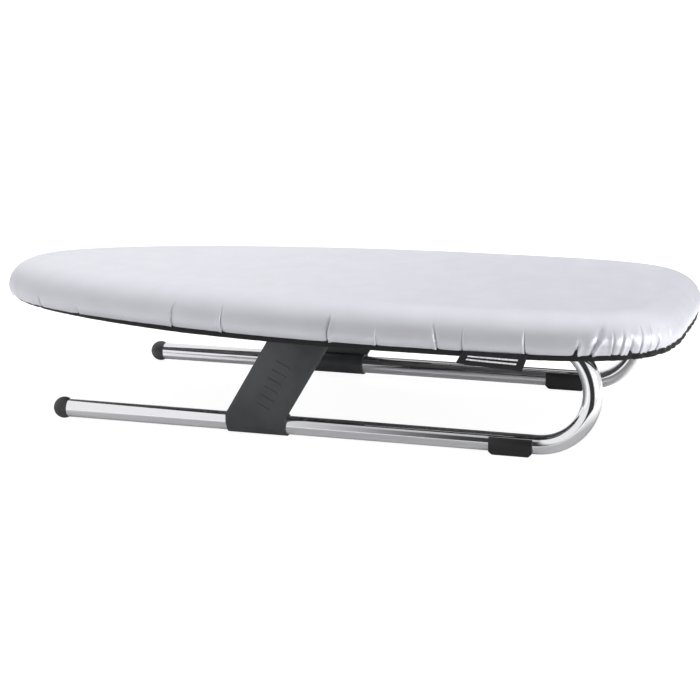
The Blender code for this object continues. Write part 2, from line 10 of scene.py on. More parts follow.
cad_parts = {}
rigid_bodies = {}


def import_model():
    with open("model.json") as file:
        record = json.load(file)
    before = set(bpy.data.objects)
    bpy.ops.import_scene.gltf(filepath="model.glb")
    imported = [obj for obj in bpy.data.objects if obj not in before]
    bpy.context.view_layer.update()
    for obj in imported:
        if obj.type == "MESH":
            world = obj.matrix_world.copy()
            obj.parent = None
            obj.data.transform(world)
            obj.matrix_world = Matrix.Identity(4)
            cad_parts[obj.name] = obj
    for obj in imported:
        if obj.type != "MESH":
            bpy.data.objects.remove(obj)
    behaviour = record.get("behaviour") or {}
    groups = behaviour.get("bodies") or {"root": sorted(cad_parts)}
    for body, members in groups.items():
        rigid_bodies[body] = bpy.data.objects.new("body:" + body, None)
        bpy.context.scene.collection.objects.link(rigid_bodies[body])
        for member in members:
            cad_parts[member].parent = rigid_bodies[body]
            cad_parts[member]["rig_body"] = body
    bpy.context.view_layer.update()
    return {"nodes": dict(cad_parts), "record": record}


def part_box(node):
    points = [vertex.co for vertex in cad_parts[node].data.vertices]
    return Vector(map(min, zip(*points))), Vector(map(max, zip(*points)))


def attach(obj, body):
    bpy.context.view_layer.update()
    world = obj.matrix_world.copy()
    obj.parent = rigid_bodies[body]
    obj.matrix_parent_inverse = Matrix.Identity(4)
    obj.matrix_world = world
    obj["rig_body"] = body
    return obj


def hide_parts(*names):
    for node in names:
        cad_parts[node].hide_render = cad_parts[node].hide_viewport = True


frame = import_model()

SLOT_OF = {row["node"]: row["material_slot"] for row in frame["record"]["subparts"]}

# ------------------------------------------------------------------ camera
CAMERA_AZIMUTH = math.radians(18.58)
CAMERA_ELEVATION = math.radians(14.16)
CAMERA_ROLL = -0.01588
CAMERA_DISTANCE = 2.0743
CAMERA_TARGET = Vector((0.0146, 0.0, 0.0602))
CAMERA_LENS = 100.63

# ------------------------------------------------------------------ board outline
BOARD_LENGTH = 0.750
BOARD_WIDTH = 0.320
WIDEST_X = 0.098
NOSE_POWERS = (1.69, 2.31)
TAIL_POWERS = (4.35, 4.01)
SPINE_FRONT_X = -0.250           # the top is meshed inward to a line on the middle
SPINE_REAR_X = 0.255
OUTLINE_SAMPLES = 1500
NORMAL_BASE = 0.003              # half the length over which a normal is smoothed

# ------------------------------------------------------------------ layers
COVER_TOP_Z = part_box("cover")[1][2] + 0.0030     # the soft pad crowns a little
BULGE_Z = 0.1196
EDGE_ROUND = 0.0360
HEM_INSET = 0.0040
HEM_Z = 0.1087
HEM_TUCK = 0.0012                # how far the cover runs on behind the tape
COVER_THICKNESS = 0.0006
PAD_CLEARANCE = 0.0030
PAD_BOTTOM_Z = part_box("pad")[0][2]
PANEL_LOW, PANEL_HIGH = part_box("support_panel")
RIM_INSET = 0.0095
RIM_LOW, RIM_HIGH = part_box("rim_band")
RIM_WALL = 0.0010
RIM_LIP = 0.0045                 # how far the lower edge turns in
RIM_ROLL = 0.002                 # outer radius of that turn
BINDING_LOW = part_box("binding")[0]
BINDING_OUTER_INSET = 0.0038

# ------------------------------------------------------------------ legs
TUBE_RADIUS = 0.0095
TUBE_WALL = 0.0010
GRIP_RADIUS = 0.0112
BEND_RADIUS = 0.0545
BEND_START_X = 0.2463
LEG_Y = 0.1255
LOWER_AXIS_Z = GRIP_RADIUS
UPPER_AXIS_Z = LOWER_AXIS_Z + 2 * BEND_RADIUS
TUBE_SIDES = 64
BRACE_LENGTH = 0.063             # along the tube
BRACE_LEAN = 0.054               # how far its upper sleeve is set back
SIDES = {"left": -1, "right": 1}


# ================================================================== helpers
def new_object(name, mesh, body):
    """Link a mesh piece and let it ride on a CAD body."""
    obj = bpy.data.objects.new(name, mesh)
    bpy.context.scene.collection.objects.link(obj)
    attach(obj, body)
    return obj


def grid_mesh(name, rings, closed_rows=False, smooth=True):
    """Quads between equal rings of points; rings close on themselves."""
    rings = np.asarray(rings)
    rows, count = rings.shape[:2]
    vertices = rings.reshape(-1, 3)
    faces = []
    last = rows if closed_rows else rows - 1
    for row in range(last):
        here = row * count
        there = ((row + 1) % rows) * count
        for i in range(count):
            j = (i + 1) % count
            faces.append((here + i, there + i, there + j, here + j))
    mesh = bpy.data.meshes.new(name)
    mesh.from_pydata(vertices.tolist(), [], faces)
    mesh.validate()
    if smooth:
        mesh.shade_smooth()
    return mesh


def weld(mesh, distance=1e-6, outward=False):
    """Merge doubled vertices, and turn the faces of a closed mesh outward."""
    bm = bmesh.new()
    bm.from_mesh(mesh)
    bmesh.ops.remove_doubles(bm, verts=bm.verts, dist=distance)
    if outward:
        bmesh.ops.recalc_face_normals(bm, faces=bm.faces)
    bm.to_mesh(mesh)
    bm.free()


def strip_faces(base, steps):
    """Faces of a strip of square section, four vertices a step, capped at both ends."""
    faces = []
    for i in range(steps):
        here = base + 4 * i
        for k in range(4):
            n = (k + 1) % 4
            faces.append((here + k, here + n, here + 4 + n, here + 4 + k))
    end = base + 4 * steps
    faces.append((base + 3, base + 2, base + 1, base))
    faces.append((end, end + 1, end + 2, end + 3))
    return faces


def arc(centre, radius, start_deg, end_deg, steps):
    """Points on an arc, both ends included."""
    return [(centre[0] + radius * math.cos(math.radians(a)),
             centre[1] + radius * math.sin(math.radians(a)))
            for a in np.linspace(start_deg, end_deg, steps + 1)]


# ================================================================== outline
def outline_quarter(reach, powers, sign):
    """One quarter of the outline, from the X axis to the widest point."""
    angles = np.linspace(0.0, math.pi / 2, OUTLINE_SAMPLES)
    x = WIDEST_X + sign * reach * np.cos(angles) ** (2 / powers[0])
    y = BOARD_WIDTH / 2 * np.sin(angles) ** (2 / powers[1])
    return np.column_stack([x, y])


def dense_outline():
    """The outline as many points, and the distance travelled to each."""
    tail = outline_quarter(BOARD_LENGTH / 2 - WIDEST_X, TAIL_POWERS, 1)
    nose = outline_quarter(BOARD_LENGTH / 2 + WIDEST_X, NOSE_POWERS, -1)
    upper = np.vstack([tail, nose[::-1][1:]])
    loop = np.vstack([upper, upper[::-1][1:] * (1, -1)])
    steps = np.linalg.norm(np.diff(loop, axis=0), axis=1)
    return loop, np.concatenate([[0.0], np.cumsum(steps)])


def outline_at(stations):
    """Points of the outline at distances along it."""
    loop, travelled = dense_outline()
    return np.column_stack([np.interp(stations, travelled, loop[:, 0]),
                            np.interp(stations, travelled, loop[:, 1])])


def even_stations(count):
    """Evenly spaced distances round the outline."""
    return np.linspace(0.0, dense_outline()[1][-1], count, endpoint=False)


def station_of(x, side):
    """The distance along the outline of the point at x, on one side of the board."""
    loop, travelled = dense_outline()
    on_side = loop[:, 1] * side > 0
    nearest = np.argmin(np.abs(loop[on_side, 0] - x))
    return travelled[on_side][nearest]


def inward_normals(stations):
    """Unit normals of the outline toward its inside, smoothed over a few millimetres."""
    total = dense_outline()[1][-1]
    ahead = outline_at((stations + NORMAL_BASE) % total)
    behind = outline_at((stations - NORMAL_BASE) % total)
    tangents = ahead - behind
    tangents /= np.linalg.norm(tangents, axis=1)[:, None]
    return np.column_stack([-tangents[:, 1], tangents[:, 0]])


def outline_ring(stations, inset, z):
    """The outline at an inset and height, which may vary from point to point."""
    if np.isscalar(stations):
        stations = even_stations(stations)
    moved = outline_at(stations) + np.asarray(inset).reshape(-1, 1) * inward_normals(stations)
    return np.column_stack([moved, np.broadcast_to(z, len(moved))])


# ================================================================== materials
def material(name, colour, roughness, metallic=0.0, **inputs):
    """A Principled material with its even values on the shader's own sockets."""
    mat = bpy.data.materials.new(name)
    mat.use_nodes = True
    shader = mat.node_tree.nodes["Principled BSDF"]
    shader.inputs["Base Color"].default_value = (*colour, 1.0)
    shader.inputs["Roughness"].default_value = roughness
    shader.inputs["Metallic"].default_value = metallic
    for key, value in inputs.items():
        shader.inputs[key.replace("_", " ")].default_value = value
    return mat


def node(mat, kind, **settings):
    """Add a node with its properties set."""
    made = mat.node_tree.nodes.new(kind)
    for key, value in settings.items():
        setattr(made, key, value)
    return made


def object_coordinates(mat, scale=(1.0, 1.0, 1.0)):
    """Object coordinates, stretched by a scale, as a socket."""
    source = node(mat, "ShaderNodeTexCoord")
    mapping = node(mat, "ShaderNodeMapping")
    mapping.inputs["Scale"].default_value = scale
    mat.node_tree.links.new(source.outputs["Object"], mapping.inputs["Vector"])
    return mapping.outputs["Vector"]


def noise_socket(mat, scale, detail=3.0, stretch=(1.0, 1.0, 1.0)):
    """The value of a noise texture."""
    texture = node(mat, "ShaderNodeTexNoise")
    texture.inputs["Scale"].default_value = scale
    texture.inputs["Detail"].default_value = detail
    mat.node_tree.links.new(object_coordinates(mat, stretch), texture.inputs["Vector"])
    return texture.outputs["Fac"]


def wave_socket(mat, scale, direction):
    """A sine wave of bands along one axis."""
    texture = node(mat, "ShaderNodeTexWave", wave_type="BANDS", bands_direction=direction)
    texture.inputs["Scale"].default_value = scale
    texture.inputs["Distortion"].default_value = 0.6
    texture.inputs["Detail Scale"].default_value = 4.0
    mat.node_tree.links.new(object_coordinates(mat), texture.inputs["Vector"])
    return texture.outputs["Fac"]


def joined(mat, first, second, operation="ADD"):
    """Two sockets through one Math node."""
    maths = node(mat, "ShaderNodeMath", operation=operation)
    mat.node_tree.links.new(first, maths.inputs[0])
    if hasattr(second, "links"):
        mat.node_tree.links.new(second, maths.inputs[1])
    else:
        maths.inputs[1].default_value = second
    return maths.outputs[0]


def add_bump(mat, height, strength, distance):
    """Drive the shader's normal with a height."""
    bump = node(mat, "ShaderNodeBump")
    bump.inputs["Strength"].default_value = strength
    bump.inputs["Distance"].default_value = distance
    mat.node_tree.links.new(height, bump.inputs["Height"])
    shader = mat.node_tree.nodes["Principled BSDF"]
    mat.node_tree.links.new(bump.outputs["Normal"], shader.inputs["Normal"])


def ranged(mat, source, low, high):
    """Map a 0 to 1 socket to a range."""
    remap = node(mat, "ShaderNodeMapRange")
    remap.inputs["From Min"].default_value = 0.3
    remap.inputs["From Max"].default_value = 0.7
    remap.inputs["To Min"].default_value = low
    remap.inputs["To Max"].default_value = high
    mat.node_tree.links.new(source, remap.inputs["Value"])
    return remap.outputs["Result"]


def vary(mat, socket_name, source, low, high):
    """Let a shader value wander between two limits."""
    shader = mat.node_tree.nodes["Principled BSDF"]
    mat.node_tree.links.new(ranged(mat, source, low, high), shader.inputs[socket_name])


def vary_colour(mat, source, dark, light):
    """Let the base colour wander between two colours."""
    ramp = node(mat, "ShaderNodeValToRGB")
    ramp.color_ramp.elements[0].position = 0.3
    ramp.color_ramp.elements[0].color = (*dark, 1.0)
    ramp.color_ramp.elements[1].position = 0.7
    ramp.color_ramp.elements[1].color = (*light, 1.0)
    mat.node_tree.links.new(source, ramp.inputs["Fac"])
    shader = mat.node_tree.nodes["Principled BSDF"]
    mat.node_tree.links.new(ramp.outputs["Color"], shader.inputs["Base Color"])


def silver_cloth():
    """Metallised cotton: satin, slightly lavender, with a fine plain weave."""
    mat = material("silver_cloth", (0.70, 0.70, 0.76), 0.40, 0.35)
    vary_colour(mat, noise_socket(mat, 34.0, 5.0), (0.685, 0.685, 0.745), (0.715, 0.715, 0.775))
    vary(mat, "Roughness", noise_socket(mat, 60.0), 0.37, 0.44)
    weave = joined(mat, wave_socket(mat, 900.0, "X"), wave_socket(mat, 900.0, "Y"))
    fine = joined(mat, weave, noise_socket(mat, 240.0, 5.0))
    slack = joined(mat, noise_socket(mat, 16.0, 2.0, (1.0, 0.6, 1.0)), 14.0, "MULTIPLY")
    add_bump(mat, joined(mat, fine, slack), 0.25, 0.00012)
    return mat


def woven_tape(name, colour, pitch):
    """Ribbed narrow tape."""
    mat = material(name, colour, 0.85, 0.0, Sheen_Weight=0.08, Sheen_Roughness=0.5)
    lighter = tuple(c * 1.7 + 0.001 for c in colour)
    vary_colour(mat, noise_socket(mat, 500.0, 4.0), colour, lighter)
    ribs = joined(mat, wave_socket(mat, pitch, "X"), wave_socket(mat, pitch, "Y"))
    add_bump(mat, joined(mat, ribs, noise_socket(mat, 900.0)), 0.6, 0.0002)
    return mat


def felt():
    """Needled felt: matt, mottled, with loose fibres in the bump; its dark grey is painted
    shade for the board's underside.
    """
    # Painted shade: the felt's grey is kept dark so the underside, seen through the mesh and in
    # the chrome, reads as shaded.
    mat = material("felt", (0.22, 0.22, 0.22), 0.95, 0.0, Sheen_Weight=0.2)
    vary_colour(mat, noise_socket(mat, 180.0, 8.0), (0.16, 0.16, 0.16), (0.28, 0.275, 0.27))
    add_bump(mat, noise_socket(mat, 420.0, 8.0), 0.8, 0.0006)
    return mat


def enamel():
    """Sprayed dark grey enamel with a faint orange peel; the dark grey is painted shade for the
    board's underside.
    """
    # Painted shade: the enamel's grey is kept dark so the board's underside reads as shaded, in
    # the chrome's reflection too.
    mat = material("grey_enamel", (0.11, 0.112, 0.115), 0.38, 0.0, Coat_Weight=0.3,
                   Coat_Roughness=0.2)
    vary_colour(mat, noise_socket(mat, 40.0), (0.10, 0.102, 0.105), (0.12, 0.122, 0.125))
    add_bump(mat, noise_socket(mat, 420.0, 2.0), 0.12, 0.0003)
    return mat


def chrome():
    """Polished chrome plate with faint drawing lines along the tube."""
    mat = material("chrome", (0.86, 0.86, 0.88), 0.06, 1.0)
    vary(mat, "Roughness", noise_socket(mat, 90.0, 4.0, (0.15, 1.0, 1.0)), 0.045, 0.10)
    add_bump(mat, noise_socket(mat, 700.0, 2.0, (0.02, 1.0, 1.0)), 0.03, 0.0001)
    return mat


def zinc():
    """Zinc-plated steel."""
    mat = material("zinc_steel", (0.60, 0.61, 0.62), 0.30, 1.0)
    vary(mat, "Roughness", noise_socket(mat, 400.0, 4.0), 0.24, 0.40)
    vary_colour(mat, noise_socket(mat, 150.0), (0.54, 0.55, 0.55), (0.66, 0.66, 0.64))
    return mat


def moulded(name, colour, roughness, grain=1400.0, depth=0.00012):
    """Moulded plastic or rubber with a fine spark-eroded grain."""
    mat = material(name, colour, roughness)
    lighter = tuple(c * 1.25 + 0.002 for c in colour)
    vary_colour(mat, noise_socket(mat, 60.0, 4.0), colour, lighter)
    vary(mat, "Roughness", noise_socket(mat, 120.0, 3.0), roughness - 0.04, roughness + 0.05)
    add_bump(mat, noise_socket(mat, grain, 3.0), 0.35, depth)
    return mat


# ================================================================== fabric cover
COVER_POINTS = 720
EDGE_ROWS = 12
SIDE_ROWS = 11
TOP_ROWS = 10
RIPPLE_DEPTH = 0.0017            # of the gathers at the hem
SIDE_UNEVEN = 0.0006             # of the slow waves in the side
TOP_UNEVEN = 0.0005              # and in the top
TOP_DROP = 0.0003                # the top lies this far under its edge


def edge_profile(clearance, steps):
    """(inset, z) from the flat top down the rounded edge to the bulge."""
    reach = EDGE_ROUND - clearance
    rise = COVER_TOP_Z - BULGE_Z - clearance
    return [(clearance + reach * (1 - math.sin(a)), BULGE_Z + rise * math.cos(a))
            for a in np.linspace(0.0, math.pi / 2, steps + 1)]


def side_profile(steps):
    """(inset, z) from the bulge down to the hem, tucked under the binding's top."""
    bottom = HEM_Z - HEM_TUCK
    return [(HEM_INSET * share ** 2, BULGE_Z + (bottom - BULGE_Z) * share)
            for share in np.linspace(0.0, 1.0, steps + 1)[1:]]


# Pleats where the elastic pinches the side that carries the label: X at the hem,
# depth in metres, direction of the fold, drift in X up the side, bend of that drift,
# and how far up it reaches, where 0 is the hem and 1 the flat top.
PLEATS = (
    (-0.305, 0.0006, 1, 0.002, 0.000, 0.35),
    (-0.250, 0.0006, -1, 0.002, 0.000, 0.30),
    (-0.131, 0.0009, 1, 0.002, 0.003, 0.72),
    (-0.072, 0.0010, 1, -0.003, 0.002, 0.74),
    (0.043, 0.0013, -1, 0.002, 0.004, 0.92),
    (0.094, 0.0005, 1, 0.001, 0.000, 0.50),
    (0.155, 0.0013, 1, -0.002, -0.003, 0.72),
    (0.180, 0.0007, -1, 0.001, 0.000, 0.66),
    (0.241, 0.0009, 1, -0.001, 0.000, 0.66),
    (0.289, 0.0016, -1, 0.004, 0.002, 0.34),
    (0.303, 0.0022, -1, 0.011, 0.006, 0.86),
    (0.322, 0.0007, 1, 0.002, 0.000, 0.60),
    (0.329, 0.0009, -1, 0.004, 0.002, 0.66),
    (0.337, 0.0019, 1, 0.005, 0.000, 0.50),
    (0.346, 0.0010, -1, 0.003, 0.000, 0.72),
    (0.353, 0.0013, 1, 0.003, 0.000, 0.74),
    (0.360, 0.0010, -1, 0.002, 0.000, 0.72),
    (0.367, 0.0011, 1, 0.002, 0.000, 0.66),
)
PLEAT_SLIT = 0.0004              # width of the dark line where the cloth folds in
PLEAT_WIDEN = 0.25               # how much wider that line is per metre of depth
PLEAT_STEP = 0.0006              # width of the sharp side of a pleat
PLEAT_REACH = 0.0060             # width of its soft side


def cover_stations():
    """Even stations, with more across each pleat, the same on both sides."""
    total = dense_outline()[1][-1]
    reach = np.array([0.0, 0.0002, 0.0004, 0.0007, 0.0011, 0.0018, 0.0030, 0.0048])
    fine = np.concatenate([-reach[:0:-1], reach])
    stations = [even_stations(COVER_POINTS)]
    for x, *_ in PLEATS:
        stations.append(station_of(x, 1) + fine)
    half = np.sort(np.concatenate(stations))
    half = half[(half >= 0.0) & (half <= total / 2)]
    half = half[np.concatenate([[True], np.diff(half) > 0.00018])]
    return np.concatenate([half, total - half[::-1]])[:-1]


def gather_strength(points):
    """How strongly the hem is gathered: most round the tail corners and the nose."""
    tail = np.clip((points[:, 0] - 0.27) / 0.09, 0, 1)
    nose = np.clip((-0.24 - points[:, 0]) / 0.12, 0, 1)
    return 0.16 + 0.84 * np.maximum(tail, 0.6 * nose)


def gather_wave(stations):
    """Irregular ripples along the hem, from -1 to 1."""
    rng = np.random.default_rng(7)
    total = dense_outline()[1][-1]
    wave = np.zeros_like(stations)
    for count in (58, 71, 89, 113, 151):
        phase = rng.uniform(0, math.tau)
        weight = rng.uniform(0.6, 1.0)
        wave += weight * np.sin(math.tau * count * stations / total + phase)
    wave /= np.abs(wave).max()
    return np.sign(wave) * np.abs(wave) ** 0.8


def pleat_push(stations, height):
    """Inward push of the pleats at one height, 0 at the hem and 1 at the flat top."""
    push = np.zeros(len(stations))
    for x, depth, way, drift, bend, top in PLEATS:
        if height >= top:
            continue
        share = height / top
        fade = 1 - share ** 3
        along = stations - station_of(x + drift * height + bend * share ** 2, -1)
        along = along * way
        sharp = 0.5 + 0.5 * np.tanh(along / (PLEAT_STEP / 2))
        valley = np.exp(-np.maximum(along, 0) / (PLEAT_REACH / 3))
        ridge = np.exp(-((along + 0.0016) / 0.0022) ** 2)
        slit = np.exp(-(along / (PLEAT_SLIT + PLEAT_WIDEN * depth)) ** 2)
        push += depth * fade * (1.1 * sharp * valley - 0.7 * (1 - sharp) * ridge + 2.2 * slit)
    return np.minimum(push, PAD_CLEARANCE - 0.0005)


def soft_noise(points, z, scale, seed):
    """Smooth noise over positions, about -1 to 1."""
    return np.array([noise.noise(Vector((x * scale + seed, y * scale, z * scale * 2)))
                     for x, y in points])


def build_cover():
    """The silver cover: rounded over the pad, rippled by the hem elastic."""
    stations = cover_stations()
    points = outline_at(stations)
    inward = inward_normals(stations)
    strength = gather_strength(points)
    wave = gather_wave(stations)
    profile = edge_profile(0.0, EDGE_ROWS) + side_profile(SIDE_ROWS)
    hem_z = profile[-1][1]
    rings = []
    for inset, z in profile:
        height = (z - hem_z) / (COVER_TOP_Z - hem_z)
        ripple = RIPPLE_DEPTH * strength * wave * (1 - height) ** 1.6
        push = pleat_push(stations, height) + ripple
        push += SIDE_UNEVEN * soft_noise(points, z, 22.0, 3.0) * math.sin(math.pi * height)
        ring = points + inward * (inset + push)[:, None]
        rings.append(np.column_stack([ring, np.full(len(ring), z)]))
    rings = top_rings(rings[0]) + rings
    mesh = grid_mesh("cover_fabric", rings)
    weld(mesh, 1e-5)
    cover = new_object("cover_fabric", mesh, "board")
    skin = cover.modifiers.new("thickness", "SOLIDIFY")
    skin.thickness = COVER_THICKNESS
    skin.offset = -1.0
    cover.data.materials.append(silver_cloth())
    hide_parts("cover")
    return cover


def top_rings(edge):
    """Rings from the spine out to the edge of the flat top, faintly uneven."""
    xy = edge[:, :2]
    spine = np.column_stack([np.clip(xy[:, 0], SPINE_FRONT_X, SPINE_REAR_X),
                             np.zeros(len(xy))])
    rings = []
    for share in np.linspace(0.0, 1.0, TOP_ROWS + 1)[:-1]:
        share = 1 - (1 - share) ** 1.5
        flat = spine + (xy - spine) * share
        lift = TOP_UNEVEN * soft_noise(flat, 0.0, 14.0, 1.0) * share
        rings.append(np.column_stack([flat, COVER_TOP_Z - TOP_DROP + lift]))
    return rings


# ================================================================== hem pieces
# Places where the tape is drawn up into a dark point: X, height and half width.
PUCKERS = ((0.289, 0.0065, 0.0024), (0.337, 0.0060, 0.0044), (0.366, 0.0050, 0.0030))
PUCKER_PROUD = 0.0006            # how far a pucker stands out of the cover
TAPE_WIDTH = 0.0026
# The tape's section: inset from its outer face, and height as a share of the tape's.
TAPE_SECTION = ((0.0003, 1.0), (0.0, 0.82), (0.0, 0.5), (0.0001, 0.2), (0.0007, 0.0),
                (TAPE_WIDTH - 0.0007, 0.0), (TAPE_WIDTH, 0.2), (TAPE_WIDTH, 0.6),
                (TAPE_WIDTH - 0.0004, 1.0), (TAPE_WIDTH / 2, 0.9))


def pucker_rise(stations):
    """How far the tape's top edge rises at the puckers."""
    rise = np.zeros(len(stations))
    for x, height, reach in PUCKERS:
        away = np.abs(stations - station_of(x, -1)) / reach
        rise = np.maximum(rise, height * np.clip(1 - away, 0, 1) ** 1.4)
    return rise


def cover_inset(z):
    """Inset of the smooth cover between the bulge and the hem."""
    share = np.clip((BULGE_Z - z) / (BULGE_Z - HEM_Z + HEM_TUCK), 0, 1)
    return HEM_INSET * share ** 2


def build_binding():
    """The black tape round the hem, pulled into small bumps by the elastic."""
    stations = even_stations(COVER_POINTS)
    points = outline_at(stations)
    strength = gather_strength(points)
    wave = gather_wave(stations)
    nose = np.clip((-0.12 - points[:, 0]) / 0.24, 0, 1)
    tail = np.clip((points[:, 0] - 0.31) / 0.06, 0, 1)
    tuck = 0.0035 * nose
    ripple = 0.0016 * strength * wave
    low = BINDING_LOW[2] + 0.0022 * nose + 0.0010 * strength * np.abs(wave)
    rise = pucker_rise(stations)
    high = HEM_Z + 0.0002 + rise
    outer = BINDING_OUTER_INSET - 0.0004 - 0.0006 * tail
    rings = []
    for inset, share in TAPE_SECTION:
        z = low + (high - low) * share
        hem = outer + inset + ripple + tuck * (1 - share)
        proud = cover_inset(z) - PUCKER_PROUD + inset
        rings.append(outline_ring(stations, np.where(rise > 0, np.minimum(hem, proud), hem), z))
    mesh = grid_mesh("hem_binding", rings, closed_rows=True)
    weld(mesh, 1e-7, outward=True)
    binding = new_object("hem_binding", mesh, "board")
    binding.data.materials.append(woven_tape("black_tape", (0.0035, 0.0035, 0.0042), 700.0))
    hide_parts("binding", "hem_elastic")
    return binding


# ================================================================== pad, panel, rim
PAD_POINTS = 480
RIM_POINTS = 640
MARGIN_WIDTH = 0.010


def build_pad():
    """The felt pad: it lies on the panel and its edge turns down outside the rim."""
    count = PAD_POINTS
    inner = RIM_INSET - 0.0004
    profile = edge_profile(PAD_CLEARANCE, 6)
    profile += [(inner, PAD_BOTTOM_Z), (inner, PANEL_HIGH[2] + 0.0002)]
    rings = [outline_ring(count, inset, z) for inset, z in profile]
    mesh = grid_mesh("felt_pad", rings)
    bm = bmesh.new()
    bm.from_mesh(mesh)
    bm.verts.ensure_lookup_table()
    bm.faces.new([bm.verts[i] for i in range(count)])
    bottom = (len(profile) - 1) * count
    bm.faces.new([bm.verts[bottom + i] for i in reversed(range(count))])
    bmesh.ops.recalc_face_normals(bm, faces=bm.faces)
    bm.to_mesh(mesh)
    bm.free()
    mesh.set_sharp_from_angle(angle=math.radians(50))
    pad = new_object("felt_pad", mesh, "board")
    pad.data.materials.append(felt())
    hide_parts("pad")
    return pad


def build_rim(finish):
    """The rim band with a rolled lower edge."""
    outer = RIM_INSET
    low = RIM_LOW[2]
    high = RIM_HIGH[2]
    centre = (outer + RIM_ROLL, low + RIM_ROLL)
    turn = arc(centre, RIM_ROLL, 180, 270, 5)
    back = arc(centre, RIM_ROLL - RIM_WALL, 270, 180, 5)
    lip = [(outer + RIM_LIP, low), (outer + RIM_LIP, low + RIM_WALL)]
    profile = [(outer, high)] + turn + lip + back + [(outer + RIM_WALL, high)]
    rings = [outline_ring(RIM_POINTS, inset, z) for inset, z in profile]
    mesh = grid_mesh("rim_channel", rings, closed_rows=True)
    weld(mesh, 1e-7, outward=True)
    mesh.set_sharp_from_angle(angle=math.radians(40))
    rim = new_object("rim_channel", mesh, "board")
    rim.data.materials.append(finish)
    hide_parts("rim_band")
    return rim


MESH_PITCH_X = 0.0075            # between neighbouring strands of the expanded sheet
MESH_PITCH_Y = 0.0120            # between bonds along a strand
STRAND_WIDTH = 0.0016


def half_width_at(x, inset):
    """Half width of the board at a station, less an inset."""
    x = min(max(x, -BOARD_LENGTH / 2 + 1e-6), BOARD_LENGTH / 2 - 1e-6)
    if x < WIDEST_X:
        share = (WIDEST_X - x) / (BOARD_LENGTH / 2 + WIDEST_X)
        powers = NOSE_POWERS
    else:
        share = (x - WIDEST_X) / (BOARD_LENGTH / 2 - WIDEST_X)
        powers = TAIL_POWERS
    return BOARD_WIDTH / 2 * (1 - share ** powers[0]) ** (1 / powers[1]) - inset


def strand_points(x, phase):
    """Zigzag centreline of one strand, from edge to edge."""
    reach = half_width_at(x, RIM_INSET + 0.004)
    steps = int(reach / (MESH_PITCH_Y / 4))
    swing = MESH_PITCH_X / 2 - STRAND_WIDTH * 0.45
    pattern = (1, 1, -1, -1)
    path = []
    for i in range(-steps, steps + 1):
        path.append((x + swing / 2 * phase * pattern[i % 4], i * MESH_PITCH_Y / 4))
    return path


def build_panel(finish):
    """Expanded-metal sheet that carries the pad, inside a plain margin."""
    low = PANEL_LOW[2]
    high = PANEL_HIGH[2]
    vertices = []
    faces = []
    start = PANEL_LOW[0] + 0.014
    count = int((PANEL_HIGH[0] - 0.012 - start) / (MESH_PITCH_X / 2))
    for number in range(count):
        x = start + number * MESH_PITCH_X / 2
        path = strand_points(x, 1 if number % 2 else -1)
        if len(path) < 3:
            continue
        base = len(vertices)
        for px, py in path:
            for dx, z in ((-1, low), (1, low), (1, high), (-1, high)):
                vertices.append((px + dx * STRAND_WIDTH / 4, py, z))
        faces += strip_faces(base, len(path) - 1)
    mesh = bpy.data.meshes.new("mesh_panel")
    mesh.from_pydata(vertices, [], faces)
    weld(mesh, 1e-9, outward=True)
    panel = new_object("mesh_panel", mesh, "board")
    panel.data.materials.append(finish)
    margin = build_panel_margin(finish, low, high)
    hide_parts("support_panel")
    return panel, margin


def build_panel_margin(finish, low, high):
    """The plain edge of the sheet, which lies on the rim."""
    inner = RIM_INSET + MARGIN_WIDTH
    profile = [(RIM_INSET, high), (RIM_INSET, low), (inner, low), (inner, high)]
    rings = [outline_ring(PAD_POINTS, inset, z) for inset, z in profile]
    mesh = grid_mesh("panel_margin", rings, closed_rows=True, smooth=False)
    weld(mesh, 1e-7, outward=True)
    margin = new_object("panel_margin", mesh, "board")
    margin.data.materials.append(finish)
    return margin


# ================================================================== legs
def leg_path():
    """The tube's centreline in the XZ plane."""
    lower_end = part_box("leg_tube_left")[0][0]
    upper_end = -0.0500
    centre = (BEND_START_X, LOWER_AXIS_Z + BEND_RADIUS)
    lower = [(x, LOWER_AXIS_Z) for x in np.linspace(lower_end, BEND_START_X, 25)[:-1]]
    upper = [(x, UPPER_AXIS_Z) for x in np.linspace(BEND_START_X, upper_end, 15)[1:]]
    return lower + arc(centre, BEND_RADIUS, -90, 90, 72) + upper


def tube_ring(path, index, radius, y):
    """One ring of points round the path."""
    before = Vector(path[max(index - 1, 0)])
    after = Vector(path[min(index + 1, len(path) - 1)])
    along = (after - before).normalized()
    across = Vector((-along.y, along.x))
    here = Vector(path[index])
    ring = []
    for k in range(TUBE_SIDES):
        angle = math.tau * k / TUBE_SIDES
        point = here + across * radius * math.cos(angle)
        ring.append((point.x, y + radius * math.sin(angle), point.y))
    return ring


def build_tube(side_name, finish):
    """One polished bent tube, hollow and open at its ends."""
    y = SIDES[side_name] * LEG_Y
    path = leg_path()
    outer = [tube_ring(path, i, TUBE_RADIUS, y) for i in range(len(path))]
    inner = [tube_ring(path, i, TUBE_RADIUS - TUBE_WALL, y) for i in range(len(path))]
    mesh = grid_mesh("chrome_tube_" + side_name, outer + inner[::-1], closed_rows=True)
    weld(mesh, 1e-7, outward=True)
    mesh.set_sharp_from_angle(angle=math.radians(50))
    tube = new_object("chrome_tube_" + side_name, mesh, "leg_" + side_name)
    tube.data.materials.append(finish)
    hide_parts("leg_tube_" + side_name)
    return tube


def lathe(name, profile, origin, axis, segments=72):
    """A turned mesh: (radius, height) pairs round an axis."""
    turn = Vector(axis).to_track_quat("Z", "Y").to_matrix()
    rings = []
    for radius, height in profile:
        ring = []
        for k in range(segments):
            angle = math.tau * k / segments
            local = Vector((radius * math.cos(angle), radius * math.sin(angle), height))
            ring.append(Vector(origin) + turn @ local)
        rings.append(ring)
    mesh = grid_mesh(name, rings)
    weld(mesh, 1e-7, outward=True)
    mesh.set_sharp_from_angle(angle=math.radians(40))
    return mesh


